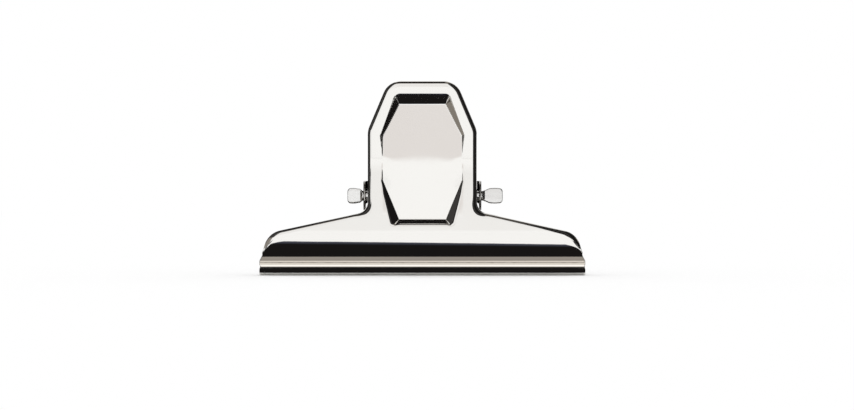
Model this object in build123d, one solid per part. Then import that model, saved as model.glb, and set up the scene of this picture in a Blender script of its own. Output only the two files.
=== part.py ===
from build123d import *
import os
from math import acos, atan2, cos, hypot, pi, radians, sin, sqrt, tan

# Bulldog clip, in millimetres. X runs along the jaw, Z up the handles and Y through the clip.
# The mid plane between the two plates is XZ, and the jaw lips stand on Z = 0.
# A depth is measured from the mid plane out to a face of a plate.

# Sheet steel
SHEET = 0.6
RIM_RADIUS = 1.4
FLANGE_DEPTH = 2.6

# Front view of a plate
JAW_WIDTH = 95.0
HEIGHT = 56.4
HANDLE_WIDTH = 31.7
HANDLE_TOP_WIDTH = 19.6
HANDLE_CORNER_Z = 42.2
HANDLE_TOP_RADIUS = 5.4
HANDLE_CORNER_RADIUS = 6.0
SHOULDER_Z = 18.7
SHOULDER_SLOPE = 12.4
SHOULDER_FILLET = 3.5
SHOULDER_SPAN = 89.6
SHOULDER_CORNER_RADIUS = 6.0
RIM_END_Z = 6.5
RIM_END_WIDTH = 92.8
RIM_FADE_HEIGHT = 6.0
LIP_END_RADIUS = 1.0

# Side view of a plate, with depths of its outer face
TOP_DEPTH = 11.5
WAIST_DEPTH = 8.0
WAIST_Z = 33.5
WAIST_RADIUS = 30.0
JAW_DEPTH = 10.8
JAW_CORNER_Z = 6.3
JAW_RADIUS = 9.2
LIP_RADIUS = 2.15
LIP_CREASE_ANGLE = 46.0
LIP_CURL_ANGLE = 215.0
JAW_GAP = 0.1

# Sunk panel of the handle: its flat floor, and how far each wall leans out per millimetre of depth
PANEL_DEPTH_AT_WAIST = 0.05
PANEL_TOP_Z = 49.7
PANEL_TOP_WIDTH = 13.4
PANEL_UPPER_CORNER_Z = 40.6
PANEL_WIDTH = 22.6
PANEL_LOWER_CORNER_Z = 27.6
PANEL_BOTTOM_Z = 16.6
PANEL_BOTTOM_WIDTH = 13.6
PANEL_TOP_LEAN = 1.1
PANEL_UPPER_LEAN = 1.1
PANEL_SIDE_LEAN = 0.65
PANEL_LOWER_LEAN = 1.35
PANEL_BOTTOM_LEAN = 0.75

# Ears and hinge pin
PIN_Z = 23.2
PIN_DIAMETER = 2.8
PIN_CLEARANCE = 0.05
EAR_RADIUS = 4.2
EAR_GAP = 0.75
EAR_ROOT_LOW_Z = 21.8
EAR_ROOT_HIGH_Z = 27.6
SPADE_GAP = 0.3
SPADE_NECK = 1.3
LEFT_SPADE_LENGTH = 3.1
RIGHT_SPADE_LENGTH = 4.7
SPADE_HEIGHT = 4.6
SPADE_THICKNESS = 1.25
SPADE_CORNER_RADIUS = 0.9

# Torsion spring
WIRE_DIAMETER = 1.8
WIRE_SIDES = 8
COIL_MEAN_RADIUS = 3.1
COIL_PITCH = 2.35
COIL_TURNS = 3
LEG_TOP_Z = 39.5
LEG_CLEARANCE = 0.3

# Values that follow from the sizes above
HANDLE_HALF = HANDLE_WIDTH / 2
PANEL_FLOOR_DEPTH = WAIST_DEPTH - PANEL_DEPTH_AT_WAIST
PUNCH_DEPTH = max(TOP_DEPTH, JAW_DEPTH) + FLANGE_DEPTH
LIP_CENTRE_DEPTH = LIP_RADIUS + JAW_GAP / 2
CREASE_DEPTH = LIP_CENTRE_DEPTH + LIP_RADIUS * cos(radians(LIP_CREASE_ANGLE))
CREASE_Z = LIP_RADIUS * (1 + sin(radians(LIP_CREASE_ANGLE)))
JAW_LEAN = atan2(JAW_DEPTH - WAIST_DEPTH, WAIST_Z - JAW_CORNER_Z)
JAW_TURN = pi / 2 + JAW_LEAN - atan2(JAW_CORNER_Z - CREASE_Z, JAW_DEPTH - CREASE_DEPTH)
JAW_RUN = hypot(JAW_DEPTH - CREASE_DEPTH, JAW_CORNER_Z - CREASE_Z)
JAW_BEND = min(JAW_RADIUS, (JAW_RUN - SHEET / 2) / tan(JAW_TURN / 2))
REAR_EAR_X = HANDLE_HALF + EAR_GAP
SPADE_X = REAR_EAR_X + SHEET + SPADE_GAP
REACH = JAW_WIDTH


def parallel(points, distances):
    """An open chain of corners, with each straight run moved to its right by its distance."""
    runs = []
    for start, end, distance in zip(points, points[1:], distances):
        along = (end[0] - start[0], end[1] - start[1])
        length = hypot(*along)
        shift = (along[1] / length * distance, -along[0] / length * distance)
        runs.append(((start[0] + shift[0], start[1] + shift[1]), along))
    corners = [runs[0][0]]
    for (p, d), (q, e) in zip(runs, runs[1:]):
        reach = ((q[0] - p[0]) * e[1] - (q[1] - p[1]) * e[0]) / (d[0] * e[1] - d[1] * e[0])
        corners.append((p[0] + d[0] * reach, p[1] + d[1] * reach))
    last, along = runs[-1]
    corners.append((last[0] + along[0], last[1] + along[1]))
    return corners


def side_point(depth, z):
    """A point of the front plate's side view."""
    return Vector(0, -depth, z)


def across(face, width=2 * REACH):
    """A side-view face drawn out along the jaw, half to each side."""
    return extrude(face, amount=width / 2, dir=(1, 0, 0), both=True)


def through(face):
    """A front-view face drawn out past both faces of the clip."""
    return extrude(face, amount=REACH, dir=(0, 1, 0), both=True)


def front_face(right_corners, right_radii, depth=0.0):
    """A symmetric front-view face from its right-hand corners, listed from the top down."""
    right = [Vector(x, -depth, z) for x, z in right_corners]
    left = [Vector(-p.X, p.Y, p.Z) for p in reversed(right)]
    radii = [*right_radii, *reversed(right_radii)]
    return make_face(FilletPolyline(*right, *left, radius=radii, close=True))


def lower_depth(z):
    """Depth of the straight stretch between the waist and the jaw."""
    return WAIST_DEPTH + (JAW_DEPTH - WAIST_DEPTH) * (WAIST_Z - z) / (WAIST_Z - JAW_CORNER_Z)


def upper_depth(z):
    """Depth of the straight stretch between the waist and the top edge."""
    return WAIST_DEPTH + (TOP_DEPTH - WAIST_DEPTH) * (z - WAIST_Z) / (HEIGHT - WAIST_Z)


def jaw_depth(z):
    """Depth of the outer face from the waist down, with the jaw's bend."""
    reach = JAW_BEND * tan(JAW_TURN / 2)
    start_z = JAW_CORNER_Z + reach * cos(JAW_LEAN)
    if z > start_z:
        return lower_depth(z)
    centre_z = start_z - JAW_BEND * sin(JAW_LEAN)
    centre_depth = lower_depth(start_z) - JAW_BEND * cos(JAW_LEAN)
    return centre_depth + sqrt(JAW_BEND**2 - (z - centre_z) ** 2)


def face_path(inset):
    """The plate's side view from above its top edge to the crease, moved in from the outer face."""
    above = HEIGHT + FLANGE_DEPTH
    corners = [
        (upper_depth(above), above),
        (WAIST_DEPTH, WAIST_Z),
        (JAW_DEPTH, JAW_CORNER_Z),
        (CREASE_DEPTH, CREASE_Z),
    ]
    points = [side_point(*corner) for corner in parallel(corners, [inset] * 3)]
    return FilletPolyline(*points, radius=[WAIST_RADIUS + inset, JAW_BEND - inset])


def layer(near, far):
    """The side view of all that lies between two insets from the outer face."""
    first = face_path(near)
    last = face_path(far)
    ends = [Line(first @ 0, last @ 0), Line(first @ 1, last @ 1)]
    return make_face([*first.edges(), *last.edges(), *ends])


def pan_outline(inset, end_z):
    """Front view of the handle and the shoulders, shrunk by an inset, down to a given height."""
    slope = radians(SHOULDER_SLOPE)
    corner_x = SHOULDER_SPAN / 2
    corner_z = SHOULDER_Z - (corner_x - HANDLE_HALF) * tan(slope)
    end_step = RIM_END_WIDTH / 2 - corner_x
    end_drop = corner_z - RIM_END_Z
    corner_turn = atan2(end_drop, end_step) - slope
    longest_radius = hypot(end_step, end_drop) / tan(corner_turn / 2)
    corners = [
        (0, HEIGHT),
        (HANDLE_TOP_WIDTH / 2, HEIGHT),
        (HANDLE_HALF, HANDLE_CORNER_Z),
        (HANDLE_HALF, SHOULDER_Z),
        (corner_x, corner_z),
        (corner_x + end_step * (corner_z - end_z) / end_drop, end_z),
    ]
    radii = [
        HANDLE_TOP_RADIUS - inset,
        HANDLE_CORNER_RADIUS - inset,
        SHOULDER_FILLET + inset,
        min(SHOULDER_CORNER_RADIUS, longest_radius - SHEET) - inset,
        0,
    ]
    return front_face(parallel(corners, [inset] * 5)[1:], radii)


def rim_edges(solid, inset):
    """The edges round the outer face of a pan that is moved in by an inset."""
    chosen = []
    for edge in solid.edges():
        middle = edge @ 0.5
        face_depth = (upper_depth(middle.Z) if middle.Z > WAIST_Z else jaw_depth(middle.Z)) - inset
        crosswise = abs((edge % 0.5).X) > 0.999
        at_top = middle.Z > HEIGHT - inset - SHEET / 2
        at_end = middle.Z < RIM_END_Z + SHEET / 2
        on_face = abs(-middle.Y - face_depth) < FLANGE_DEPTH / 4
        if on_face and not at_end and (at_top or not crosswise):
            chosen.append(edge)
    return chosen


def pan(inset, end_z, far):
    """The handle and shoulders as a filled pan with a rounded rim."""
    solid = through(pan_outline(inset, end_z)) & across(layer(inset, far))
    return fillet(rim_edges(solid, inset), RIM_RADIUS - inset)


def panel_punch(backing):
    """The tapered block that sinks the panel, or its back when a sheet's thickness is given."""
    corners = [
        (0, PANEL_TOP_Z),
        (PANEL_TOP_WIDTH / 2, PANEL_TOP_Z),
        (PANEL_WIDTH / 2, PANEL_UPPER_CORNER_Z),
        (PANEL_WIDTH / 2, PANEL_LOWER_CORNER_Z),
        (PANEL_BOTTOM_WIDTH / 2, PANEL_BOTTOM_Z),
        (0, PANEL_BOTTOM_Z),
    ]
    leans = [
        PANEL_TOP_LEAN,
        PANEL_UPPER_LEAN,
        PANEL_SIDE_LEAN,
        PANEL_LOWER_LEAN,
        PANEL_BOTTOM_LEAN,
    ]
    floor_depth = PANEL_FLOOR_DEPTH - backing
    sections = []
    for depth in (floor_depth, PUNCH_DEPTH):
        rise = depth - floor_depth
        spread = [-lean * rise - backing * (sqrt(1 + lean**2) - lean) for lean in leans]
        sections.append(front_face(parallel(corners, spread)[1:-1], [0] * 4, depth))
    return loft(sections, ruled=True)


def handle():
    """The pressed handle and shoulders, with the turned-back rim and the sunk panel."""
    block = pan(0, RIM_END_Z, 2 * FLANGE_DEPTH)
    hollow = pan(SHEET, RIM_END_Z - FLANGE_DEPTH, 2 * FLANGE_DEPTH)
    rim = (block & across(layer(0, FLANGE_DEPTH))) - hollow
    sunk = (block & panel_punch(SHEET)) - panel_punch(0)
    fade_top = RIM_END_Z + RIM_FADE_HEIGHT
    fade = make_face(
        Polyline(
            side_point(jaw_depth(fade_top) - FLANGE_DEPTH, fade_top),
            side_point(jaw_depth(RIM_END_Z), RIM_END_Z),
            side_point(0, RIM_END_Z),
            side_point(0, fade_top),
            close=True,
        )
    )
    rim_fade = across(fade) - across(layer(0, SHEET))
    return rim - panel_punch(0) + sunk - rim_fade


def lip_side():
    """Side view of the rolled lip and of the tight bend that joins it to the jaw."""
    centre = side_point(LIP_CENTRE_DEPTH, LIP_RADIUS)
    crease = side_point(CREASE_DEPTH, CREASE_Z)
    arcs = []
    for radius in (LIP_RADIUS, LIP_RADIUS - SHEET):
        spots = []
        for share in (0, 0.5, 1):
            turn = radians(-LIP_CREASE_ANGLE + share * (LIP_CREASE_ANGLE + LIP_CURL_ANGLE))
            spots.append(centre + Vector(0, -radius * cos(turn), -radius * sin(turn)))
        arcs.append(ThreePointArc(*spots))
    caps = [Line(arcs[0] @ 0, arcs[1] @ 0), Line(arcs[0] @ 1, arcs[1] @ 1)]
    roll = make_face([*arcs, *caps])
    into_jaw = (face_path(SHEET) @ 1 - crease).normalized()
    into_lip = (centre - crease).normalized()
    ways = (into_jaw, (into_jaw + into_lip).normalized(), into_lip)
    bend = ThreePointArc(*[crease + way * SHEET for way in ways])
    return roll + make_face([bend, Line(bend @ 1, crease), Line(crease, bend @ 0)])


def jaw():
    """The rounded jaw below the rim, with its lip rolled over towards the mid plane."""
    corners = [
        (RIM_END_WIDTH / 2, RIM_END_Z),
        (JAW_WIDTH / 2, CREASE_Z),
        (JAW_WIDTH / 2, 0),
    ]
    outline = front_face(corners, [0, LIP_END_RADIUS, LIP_END_RADIUS])
    return across(layer(0, SHEET) + lip_side()) & through(outline)


def ear_side(root_inset):
    """Side view of an ear, from a root on the turned-back rim to a round lobe about the pin."""
    low = (root_inset - lower_depth(EAR_ROOT_LOW_Z), EAR_ROOT_LOW_Z)
    high = (root_inset - lower_depth(EAR_ROOT_HIGH_Z), EAR_ROOT_HIGH_Z)
    lobe = Pos(0, PIN_Z) * Circle(EAR_RADIUS)
    return Plane.YZ * make_hull([lobe.edge(), Line(low, high)])


def pin_hole():
    """The bore through the ears."""
    bore = Plane.YZ * Pos(0, PIN_Z) * Circle(PIN_DIAMETER / 2 + PIN_CLEARANCE)
    return across(bore)


def ears(x):
    """A pair of ears whose inner faces stand at x on either side."""
    side = ear_side(FLANGE_DEPTH - SHEET)
    return across(side, 2 * (x + SHEET)) - across(side, 2 * x)


def front_plate():
    """The plate that faces the viewer, whose ears are flush with its rim."""
    return handle() + jaw() + ears(HANDLE_HALF - SHEET) - pin_hole()


def rear_plate():
    """The plate behind, whose ears step out past the front plate's ears."""
    low = lower_depth(EAR_ROOT_LOW_Z) - FLANGE_DEPTH
    high = lower_depth(EAR_ROOT_HIGH_Z) - FLANGE_DEPTH
    step = make_face(
        Polyline(
            side_point(low, EAR_ROOT_LOW_Z),
            side_point(high, EAR_ROOT_HIGH_Z),
            side_point(high + SHEET, EAR_ROOT_HIGH_Z),
            side_point(low + SHEET, EAR_ROOT_LOW_Z),
            close=True,
        )
    )
    steps = across(step, 2 * (REAR_EAR_X + SHEET)) - across(step, 2 * HANDLE_HALF - SHEET)
    return Rot(Z=180) * (handle() + jaw() + steps + ears(REAR_EAR_X) - pin_hole())


def spade(length):
    """The right end of the pin, beaten out from a round neck to a flat blade of a given length."""
    neck_end = SPADE_X + SPADE_NECK
    blade_end = neck_end + length
    flare = Rot(Y=90) * Cone(PIN_DIAMETER / 2, SPADE_HEIGHT / 2, SPADE_NECK)
    taper = make_face(
        Polyline(
            (SPADE_X, PIN_DIAMETER / 2),
            (neck_end, SPADE_THICKNESS / 2),
            (neck_end, -SPADE_THICKNESS / 2),
            (SPADE_X, -PIN_DIAMETER / 2),
            close=True,
        )
    )
    neck = Pos(SPADE_X + SPADE_NECK / 2) * flare & extrude(taper, amount=SPADE_HEIGHT, both=True)
    blade = Plane.XZ * make_face(
        FilletPolyline(
            (neck_end, SPADE_HEIGHT / 2),
            (blade_end, SPADE_HEIGHT / 2),
            (blade_end, -SPADE_HEIGHT / 2),
            (neck_end, -SPADE_HEIGHT / 2),
            radius=[0, SPADE_CORNER_RADIUS, SPADE_CORNER_RADIUS, 0],
            close=True,
        )
    )
    return neck + extrude(blade, amount=SPADE_THICKNESS / 2, both=True)


def hinge_pin():
    """A round pin whose two ends are beaten flat into spades that face front and back."""
    shaft = Rot(Y=90) * Cylinder(PIN_DIAMETER / 2, 2 * SPADE_X)
    ends = spade(RIGHT_SPADE_LENGTH) + Rot(Z=180) * spade(LEFT_SPADE_LENGTH)
    return Pos(0, 0, PIN_Z) * (shaft + ends)


def biarc(start, start_way, end, end_way):
    """Two tangent arcs from one point and direction to another."""
    gap = end - start
    ways = start_way + end_way
    spread = 2 * (1 - start_way.dot(end_way))
    along = gap.dot(ways)
    reach = (sqrt(along**2 + spread * gap.dot(gap)) - along) / spread
    joint = (start + end + (start_way - end_way) * reach) / 2
    way = (end - end_way * reach - start - start_way * reach).normalized()
    return [TangentArc(start, joint, tangent=start_way), TangentArc(joint, end, tangent=way)]


def least_self_gap(path):
    """The smallest gap between the wire's own turns, from points along its centre line."""
    count = int(path.length / (WIRE_DIAMETER / 4))
    spots = [path @ (i / count) for i in range(count + 1)]
    apart = int(pi * COIL_MEAN_RADIUS / path.length * count)
    pairs = ((a, b) for i, a in enumerate(spots) for b in spots[i + apart :])
    return min((a - b).length for a, b in pairs) - WIRE_DIAMETER


def spring():
    """A torsion spring round the pin, with one leg up the back of each panel."""
    leg_depth = PANEL_FLOOR_DEPTH - SHEET - LEG_CLEARANCE - WIRE_DIAMETER / 2
    leg_rise = LEG_TOP_Z - PIN_Z
    tip_angle = atan2(leg_rise, -leg_depth)
    first_turn = tip_angle + acos(COIL_MEAN_RADIUS / hypot(leg_depth, leg_rise))
    last_turn = pi - first_turn + 2 * pi * (COIL_TURNS + 1)
    steps = round((last_turn - first_turn) / (pi / 2))
    climb = COIL_PITCH / (2 * pi)

    def spot(turn):
        along = climb * (turn - (first_turn + last_turn) / 2)
        return Vector(along, COIL_MEAN_RADIUS * cos(turn), PIN_Z + COIL_MEAN_RADIUS * sin(turn))

    def way(turn):
        across_coil = Vector(climb, -COIL_MEAN_RADIUS * sin(turn), COIL_MEAN_RADIUS * cos(turn))
        return across_coil.normalized()

    turns = [first_turn + (last_turn - first_turn) * i / steps for i in range(steps + 1)]
    leg_length = (LEG_TOP_Z - spot(first_turn).Z) / abs(way(first_turn).Z)
    front_tip = spot(first_turn) - way(first_turn) * leg_length
    rear_tip = spot(last_turn) + way(last_turn) * leg_length
    edges = [Line(front_tip, spot(first_turn))]
    for start, end in zip(turns, turns[1:]):
        edges += biarc(spot(start), way(start), spot(end), way(end))
    edges.append(Line(spot(last_turn), rear_tip))
    path = Wire(edges)
    print("spring wire length", round(path.length, 1))
    print("spring's least gap to itself", round(least_self_gap(path), 2))
    section = Plane(front_tip, z_dir=way(first_turn)) * RegularPolygon(WIRE_DIAMETER / 2, WIRE_SIDES)
    return sweep(section, path=path)


if __name__ == "__main__":
    os.makedirs("parts", exist_ok=True)
    for make in (front_plate, rear_plate, hinge_pin, spring):
        export_step(make(), f"parts/{make.__name__}.step")
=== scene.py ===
import math

import bpy
import numpy as np
from mathutils.geometry import delaunay_2d_cdt
from mathutils.kdtree import KDTree
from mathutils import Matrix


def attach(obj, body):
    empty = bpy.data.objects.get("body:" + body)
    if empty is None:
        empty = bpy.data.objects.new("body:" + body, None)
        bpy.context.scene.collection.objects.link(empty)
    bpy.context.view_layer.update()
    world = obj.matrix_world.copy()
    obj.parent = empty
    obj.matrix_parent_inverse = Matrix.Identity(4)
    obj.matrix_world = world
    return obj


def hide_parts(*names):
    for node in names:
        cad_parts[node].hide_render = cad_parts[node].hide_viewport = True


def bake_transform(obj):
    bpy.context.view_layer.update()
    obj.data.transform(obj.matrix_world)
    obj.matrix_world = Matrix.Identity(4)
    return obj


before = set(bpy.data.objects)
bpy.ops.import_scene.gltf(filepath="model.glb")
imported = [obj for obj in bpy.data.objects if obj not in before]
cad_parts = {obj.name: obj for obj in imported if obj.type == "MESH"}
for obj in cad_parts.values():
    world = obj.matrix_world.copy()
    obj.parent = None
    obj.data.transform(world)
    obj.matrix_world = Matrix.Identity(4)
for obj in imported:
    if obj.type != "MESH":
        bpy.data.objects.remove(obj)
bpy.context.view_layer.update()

# Lengths are in millimetres, in the clip's own frame, until a mesh is made.
MM = 0.001

# Sheet steel
SHEET = 0.6
RIM_RADIUS = 1.4
FLANGE_DEPTH = 2.6
FILLET_RIM_EXTRA = 0.95
FILLET_RIM_REACH = 2.0
FILLET_RIM_PLACE = (0.25, 0.15)
EDGE_ROUND = 0.12

# Front view of a plate
JAW_WIDTH = 95.0
HEIGHT = 56.4
HANDLE_WIDTH = 31.7
HANDLE_TOP_WIDTH = 19.6
HANDLE_CORNER_Z = 42.2
HANDLE_TOP_RADIUS = 5.4
HANDLE_CORNER_RADIUS = 6.0
SHOULDER_Z = 18.7
SHOULDER_SLOPE = math.radians(12.4)
SHOULDER_FILLET = 3.5
SHOULDER_SPAN = 89.6
SHOULDER_CORNER_RADIUS = 6.0
RIM_END_Z = 6.5
RIM_END_WIDTH = 92.8
RIM_FADE_HEIGHT = 6.0
RIM_FULL_TURN_SHARE = 0.75
FLANGE_START_SHARE = 0.5
JAW_EDGE_FADE = 1.0
LIP_END_RADIUS = 1.0
LIP_NOTCH = 0.35
LIP_NOTCH_REACH = 0.45

# Side view of a plate, with depths of its outer face from the mid plane
TOP_DEPTH = 11.5
WAIST_DEPTH = 8.0
WAIST_Z = 33.5
WAIST_RADIUS = 30.0
JAW_DEPTH = 10.8
JAW_CORNER_Z = 6.3
JAW_RADIUS = 9.2
LIP_RADIUS = 2.15
LIP_CREASE_ANGLE = math.radians(46)
LIP_CURL_ANGLE = math.radians(215)
CREASE_RADIUS = 0.22
JAW_GAP = 0.1

# Sunk panel: corners of its floor from the top centre round to the bottom centre, and how far each wall leans
# out for each millimetre of depth, at its start and over the rest of its run
PANEL_FLOOR_DEPTH = 7.95
PANEL_TOP_Z = 49.7
PANEL_BOTTOM_Z = 16.35
PANEL_HALF_WIDTH = 11.3
PANEL_CORNERS = [
    (0, PANEL_TOP_Z),
    (6.7, PANEL_TOP_Z),
    (PANEL_HALF_WIDTH, 40.6),
    (PANEL_HALF_WIDTH, 27.6),
    (6.8, PANEL_BOTTOM_Z),
    (0, PANEL_BOTTOM_Z),
]
PANEL_LEANS = [(1.1, 1.1), (0.8, 0.8), (0.8, 0.8), (0.9, 1.35), (0.8, 0.8)]
PANEL_LEAN_START_SHARE = 0.35

# Soft edges of the panel, which are tighter where it is shallow and wider at its foot
PANEL_FLOOR_BLEND = 0.08
PANEL_EDGE_BLEND = 0.26
PANEL_EDGE_LEAST_SHARE = 0.3
PANEL_EDGE_FULL_DEPTH = 1.2
PANEL_FOOT_BLEND = 0.12
PANEL_FOOT_DROP = 1.0
PANEL_FOOT_RISE = 5.0
PANEL_SWELL = 0.28
PANEL_SWELL_HEIGHT = 8.0
PANEL_SWELL_X = 3.0

# Ears and hinge pin
PIN_Z = 23.2
PIN_RADIUS = 1.4
PIN_HOLE_RADIUS = 1.45
EAR_RADIUS = 4.2
EAR_GAP = 0.75
EAR_ROOT_LOW_Z = 21.8
EAR_ROOT_HIGH_Z = 27.6
EAR_STEP_CLEARANCE = 0.15
SPADE_GAP = 0.3
SPADE_NECK = 1.3
LEFT_SPADE_LENGTH = 3.1
RIGHT_SPADE_LENGTH = 4.7
LEFT_SPADE_FLARE = 1.2
RIGHT_SPADE_FLARE = 2.6
LEFT_SPADE_TWIST = math.radians(3)
RIGHT_SPADE_TWIST = math.radians(-6)
SPADE_FLARE_LEAD = 0.25
SPADE_FLAT_LEAD = 0.1
SPADE_FLAT_SHARE = 0.6
SPADE_HEIGHT = 4.6
SPADE_THICKNESS = 1.25
SPADE_CORNER_RADIUS = 0.9
SPADE_BOW = 0.2
SPADE_SQUARENESS = 2.2
SPADE_EDGE = 0.16
SPADE_EDGE_LEAST_SHARE = 0.25

# Torsion spring
WIRE_RADIUS = 0.9
COIL_MEAN_RADIUS = 3.1
COIL_PITCH = 2.35
COIL_TURNS = 3
LEG_TOP_Z = 39.5
LEG_CLEARANCE = 0.3
WIRE_END_SHARE = 0.82

# Spacing of mesh points
COARSE_STEP = 1.25
OUTLINE_STEP = 0.7
FINE_STEP = 0.25
FINE_TURN = math.radians(1.2)
FINE_ABOVE = 5.0
FINE_BELOW = 3.0
BEND_STEP = math.radians(5)
COIL_STEP = math.radians(6)
HEIGHT_TABLE_POINTS = 20001
RIM_ROWS = 11
FLANGE_SHARES = (0.5, 1)
CUT_EDGE_SHARES = (0.2, 0.5, 0.8)
EAR_LOBE_POINTS = 40
EAR_EDGE_POINTS = 5
EAR_RINGS = 16
SHAFT_RINGS = 4
NECK_RINGS = 10
BLADE_RINGS = 8
CORNER_RINGS = 14
PIN_SIDES = 48
WIRE_SIDES = 18
LEG_SHARES = [1, 0.99, *np.linspace(0.95, 0, 15)[:-1]]

# How close points may come to each other or to a border, how near they count as one or as touching, and the
# step over which a slope is measured
ROW_GAP = 0.3
LIP_CORNER_GAP = 0.4
LIP_END_GAP = 0.05
BORDER_GAP = 0.12
WELD_REACH = 0.002
TOUCH = 0.01
SLOPE_STEP = 0.02

# Finish of the metals: scale and detail of each noise, the span of noise that shows as rubbing, and the
# depths of bumps in metres
TINT_NOISE = (90, 4)
RUB_NOISE = (1400, 6)
RUB_STRETCH = (0.12, 1, 1)
RUB_LOW = 0.35
RUB_HIGH = 0.75
GRAIN_NOISE = (3800, 3)
GRAIN_DEPTH = 0.00002
WAVE_NOISE = (130, 2)
WAVE_DEPTH = 0.0002

# Painted shade in the groove over the lip, where the crease shades it: its low and high place and how far
# they wander, in metres, and its shades, each with its share of the way up
GROOVE_LOW = 0.0037
GROOVE_HIGH = 0.0053
GROOVE_SHADE_NOISE = (420, 3)
GROOVE_SHADE_STRETCH = (1, 0, 0)
GROOVE_SHADE_WANDER = 0.0003
GROOVE_SHADE_ENDS = (0.04, 0.75)
GROOVE_PAINTED_SHADES = [(0.09, (0.42, 0.37, 0.33)), (0.16, (0.70, 0.665, 0.625))]

# Studio cards, in metres. A card's y counts towards the viewer. Those on the floor lie just above each other
STRIP_Z = 0.0002
END_STRIP_Z = 0.00025
CARVE_Z = 0.0003
STRIP_X = 0.061
END_STRIP_X = 0.0485
APRON_FAR_Y = 0.40

# Cards that the rolled lip and the groove over it reflect
SHADE_NEAR_Y = 0.0039
LIP_CARD_X = 0.05
LIP_CARD_Y = 0.0048
LIP_FACE_Y = 0.0049
LIP_TAN_Z = 0.0026
LIP_CREAM_Z = 0.0029
LIP_CARD_TOP = 0.0041

# Dark band over the jaw: the edges of its strip, at the left end and at the right end where they differ, the
# glimmers along its upper edge, and the curves that its ends follow
BAND_NEAR_Y = 0.0059
BAND_FAR_Y = (0.0205, 0.0142)
GLIMMERS = 4
GLIMMER_WIDTHS = (0.0017, 0.0007)
GLIMMER_COLOUR = (0.022, 0.023, 0.030)
LEFT_CARVE = [
    (-0.0395, 0.0270),
    (-0.0424, 0.0236),
    (-0.0440, 0.0205),
    (-0.0451, 0.0173),
    (-0.0462, 0.0137),
    (-0.0474, 0.0100),
]
RIGHT_CARVE = [(0.0420, 0.0185), (0.0438, 0.0162), (0.0450, 0.0143), (0.0460, 0.0118), (0.0472, 0.0087)]

# Flags and shades beside the clip, the cards before it and above it, and the floor
FLAG_FOOT = 0.0003
FLAG_TOP = 0.24
FLAG_X = 0.062
FLAG_Y = 0.04
RIGHT_FLAG_END = (0.055, 0.125)
RIGHT_FLAG_CORNER = (0.075, 0.105)
SIDE_FLAG_CORNER = (0.085, 0.07)
LEFT_FLAG_END = (-0.085, 0.05)
UPPER_FLAG_END = (-0.09, 0.095)
UPPER_FLAG_FOOT = 0.04
LEFT_CARD_X = 0.0615
LEFT_CARD_TOP = 0.021
LEFT_SHADE_Y = 0.031
GREY_CARD_X = 0.0124
GREY_CARD_Y = 0.09
GREY_CARD_LEVELS = (0.0338, 0.058)
GREY_CARD_FADE = (0.0338, 0.0362)
SOFTBOX_FADE = (0.04, 0.17)
SKY_CENTRE_Z = 0.02
SKY_ROWS = 9
SKY_COLUMNS = 17
FLOOR_HALF = 6.0

# Camera: lengths in metres, the image in pixels and the sensor in millimetres
PIXEL = 0.2925 * MM
IMAGE_WIDTH = 854
VIEW_CENTRE = (1.35 * MM, 20.5 * MM)
VIEW_DISTANCE = 1.0
SENSOR_WIDTH = 36.0

# Values that follow from the sizes above
HANDLE_HALF = HANDLE_WIDTH / 2
REAR_EAR_X = HANDLE_HALF + EAR_GAP
SPADE_X = REAR_EAR_X + SHEET + SPADE_GAP
LIP_CENTRE = np.array([LIP_RADIUS + JAW_GAP / 2, LIP_RADIUS])


def smooth_step(low, high, value):
    share = np.clip((value - low) / (high - low), 0, 1)
    return share * share * (3 - 2 * share)


def soft_max(a, b, width):
    """The larger of two values, rounded over where they are within a width of each other."""
    share = np.clip(0.5 + (a - b) / (2 * width), 0, 1)
    return b + (a - b) * share + width * share * (1 - share)


def soft_min(a, b, width):
    return -soft_max(-a, -b, width)


def unit(vectors):
    return vectors / np.linalg.norm(vectors, axis=-1, keepdims=True)


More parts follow.
